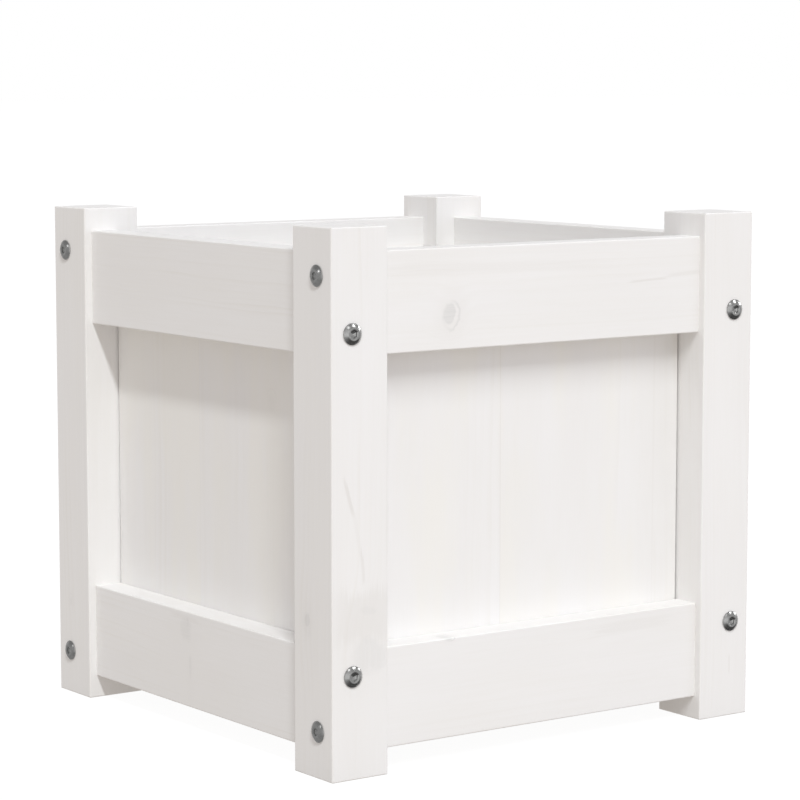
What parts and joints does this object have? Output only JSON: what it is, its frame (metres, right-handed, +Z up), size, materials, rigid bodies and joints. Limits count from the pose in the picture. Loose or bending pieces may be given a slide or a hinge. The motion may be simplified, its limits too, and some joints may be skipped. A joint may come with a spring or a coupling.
{
  "type": "versailles planter",
  "caption": "Square white-painted wooden garden planter: corner posts, bolted rails, upright boards and a slatted base.",
  "frame": {"origin": "middle of the footprint, on the floor", "axes": "+Z up, -Y the front, +X to the right seen from the front"},
  "size_m": [0.314, 0.314, 0.31],
  "materials": {
    "post_paint": "white paint on planed softwood, matt, grain and knots faintly telegraphed",
    "rail_paint": "white paint on planed softwood, matt, grain and knots faintly telegraphed",
    "board_paint": "white paint on planed softwood, matt, grain and knots faintly telegraphed",
    "base_paint": "white paint on planed softwood, matt, grain and knots faintly telegraphed",
    "bolt_steel": "satin zinc-plated steel",
    "insert_zinc": "zinc alloy",
    "screw_zinc": "zinc-plated steel",
    "dowel_wood": "bare beech"
  },
  "bodies": {
    "root": {"post_front_left": "post_paint", "post_front_right": "post_paint", "post_back_right": "post_paint", "post_back_left": "post_paint", "top_rail_front": "rail_paint", "top_rail_right": "rail_paint", "top_rail_back": "rail_paint", "top_rail_left": "rail_paint", "bottom_rail_front": "rail_paint", "bottom_rail_right": "rail_paint", "bottom_rail_back": "rail_paint", "bottom_rail_left": "rail_paint", "board_front_1": "board_paint", "board_right_1": "board_paint", "board_back_1": "board_paint", "board_left_1": "board_paint", "board_front_2": "board_paint", "board_right_2": "board_paint", "board_back_2": "board_paint", "board_left_2": "board_paint", "rail_bolts_front": "bolt_steel", "rail_bolts_right": "bolt_steel", "rail_bolts_back": "bolt_steel", "rail_bolts_left": "bolt_steel", "rail_inserts_front": "insert_zinc", "rail_inserts_right": "insert_zinc", "rail_inserts_back": "insert_zinc", "rail_inserts_left": "insert_zinc", "rail_dowels_front": "dowel_wood", "rail_dowels_right": "dowel_wood", "rail_dowels_back": "dowel_wood", "rail_dowels_left": "dowel_wood", "board_screws_front": "screw_zinc", "board_screws_right": "screw_zinc", "board_screws_back": "screw_zinc", "board_screws_left": "screw_zinc", "base_batten_left": "base_paint", "base_batten_right": "base_paint", "batten_screws": "screw_zinc", "base_slat_1": "base_paint", "base_slat_2": "base_paint", "base_slat_3": "base_paint", "base_slat_4": "base_paint", "slat_screws": "screw_zinc"}
  },
  "joints": []
}
